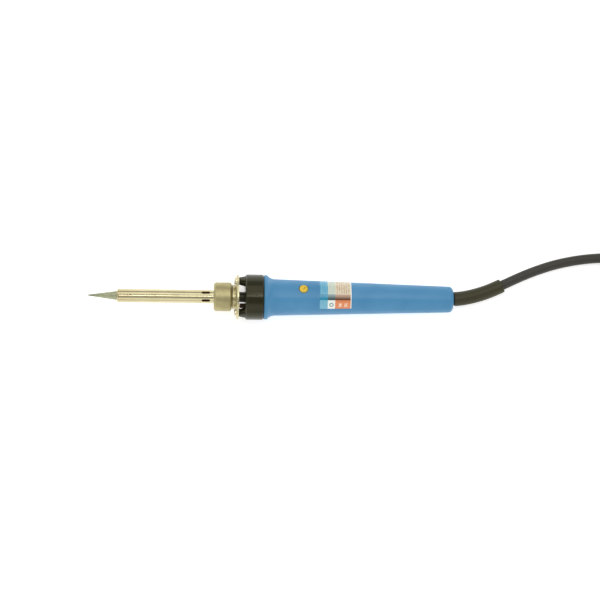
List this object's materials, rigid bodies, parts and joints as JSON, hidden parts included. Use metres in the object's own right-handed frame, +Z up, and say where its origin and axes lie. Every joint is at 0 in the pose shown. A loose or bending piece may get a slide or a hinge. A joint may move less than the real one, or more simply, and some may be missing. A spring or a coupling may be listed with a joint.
{
  "type": "soldering iron",
  "caption": "Corded soldering iron with a conical tip in a vented barrel, a heat-proof collar, a tapered grip with a temperature dial, and a tied cord with an earthed plug.",
  "frame": {"origin": "on the table under the middle of the iron itself, cord left out", "axes": "+X runs from the tip towards the cord, +Z is up from the table, +Y completes the right-handed frame; the tool axis leans 2.96 degrees nose up, as the iron lies on its collar and handle end"},
  "size_m": [0.5334, 0.055, 0.0286],
  "materials": {
    "tip_plating": "iron-plated, dull at the point",
    "barrel_steel": "polished",
    "nut_nickel": "satin nickel",
    "nipple_nickel": "satin nickel",
    "plate_steel": "stamped and plated",
    "screw_steel": "plated",
    "insert_brass": "turned",
    "collar_resin": "moulded heat-proof resin",
    "heater_ceramic": "fired ceramic",
    "base_ceramic": "fired ceramic",
    "glass_sleeving": "woven glass sleeving",
    "red_sleeving": "woven glass sleeving",
    "tag_brass": "tinned",
    "rivet_steel": "plated",
    "earth_insulation": "flexible insulation",
    "brown_sleeving": "heat-browned glass sleeving",
    "splice_sleeve": "crimped sleeve",
    "handle_blue": "moulded, satin",
    "label_film": "printed film",
    "board_laminate": "solder mask",
    "pot_case": "moulded case",
    "shaft_resin": "moulded",
    "dial_yellow": "moulded",
    "terminal_tin": "tinned",
    "chip_epoxy": "epoxy",
    "triac_epoxy": "epoxy",
    "tab_copper": "tinned copper",
    "film_case": "dipped case",
    "can_sleeve": "sleeved can",
    "resistor_coat": "lacquered",
    "diode_epoxy": "epoxy",
    "cord_rubber": "jacket",
    "boot_rubber": "moulded",
    "retainer_steel": "crimped ring",
    "core_insulation": "flexible insulation",
    "tie_strap": "hook and loop strap",
    "plug_rubber": "moulded",
    "blade_brass": "nickel-plated brass",
    "pin_brass": "nickel-plated brass"
  },
  "bodies": {
    "handle": {"threaded_nipple": "nipple_nickel", "flange_plate": "plate_steel", "plate_screws": "screw_steel", "threaded_inserts": "insert_brass", "insulating_collar": "collar_resin", "heater_element": "heater_ceramic", "heater_base": "base_ceramic", "heater_leads": "glass_sleeving", "sensor_leads": "red_sleeving", "earth_tag": "tag_brass", "earth_rivet": "rivet_steel", "earth_lead": "earth_insulation", "earth_sleeve": "brown_sleeving", "earth_splice": "splice_sleeve", "handle_shell": "handle_blue", "rating_label": "label_film", "circuit_board": "board_laminate", "potentiometer": "pot_case", "board_terminals": "terminal_tin", "control_chip": "chip_epoxy", "triac": "triac_epoxy", "triac_tab": "tab_copper", "film_capacitor": "film_case", "smoothing_capacitor": "can_sleeve", "resistors": "resistor_coat", "diodes": "diode_epoxy", "mains_cord": "cord_rubber", "cord_tail": "cord_rubber", "cord_boot": "boot_rubber", "cord_retainer": "retainer_steel", "cord_cores": "core_insulation", "cord_hank": "cord_rubber", "cord_tie": "tie_strap", "plug_body": "plug_rubber", "plug_blades": "blade_brass", "plug_earth_pin": "pin_brass"},
    "tip": {"soldering_tip": "tip_plating"},
    "barrel": {"barrel_sleeve": "barrel_steel"},
    "nut": {"sleeve_nut": "nut_nickel"},
    "dial": {"temperature_dial": "dial_yellow", "dial_shaft": "shaft_resin"}
  },
  "joints": [
    {"name": "tip_pull", "type": "slide", "parent": "handle", "child": "tip", "axis": [-0.9987, 0, 0.0516], "range_m": [0, 0.066]},
    {"name": "sleeve_advance", "type": "slide", "parent": "tip", "child": "barrel", "axis": [-0.9987, 0, 0.0516], "range_m": [0, 0.008]},
    {"name": "nut_turn", "type": "hinge", "parent": "barrel", "child": "nut", "pos_m": [-0.03061, 0, 0.01533], "axis": [-0.9987, 0, 0.0516], "range_deg": [0, 2880]},
    {"name": "dial_turn", "type": "hinge", "parent": "handle", "child": "dial", "pos_m": [0.01962, 0, 0.01274], "axis": [0.0439, 0.524, 0.8506], "range_deg": [-135, 135]}
  ],
  "couplings": [
    {"joint": "sleeve_advance", "follows": "nut_turn", "m_per_rad": 0.00015915}
  ]
}
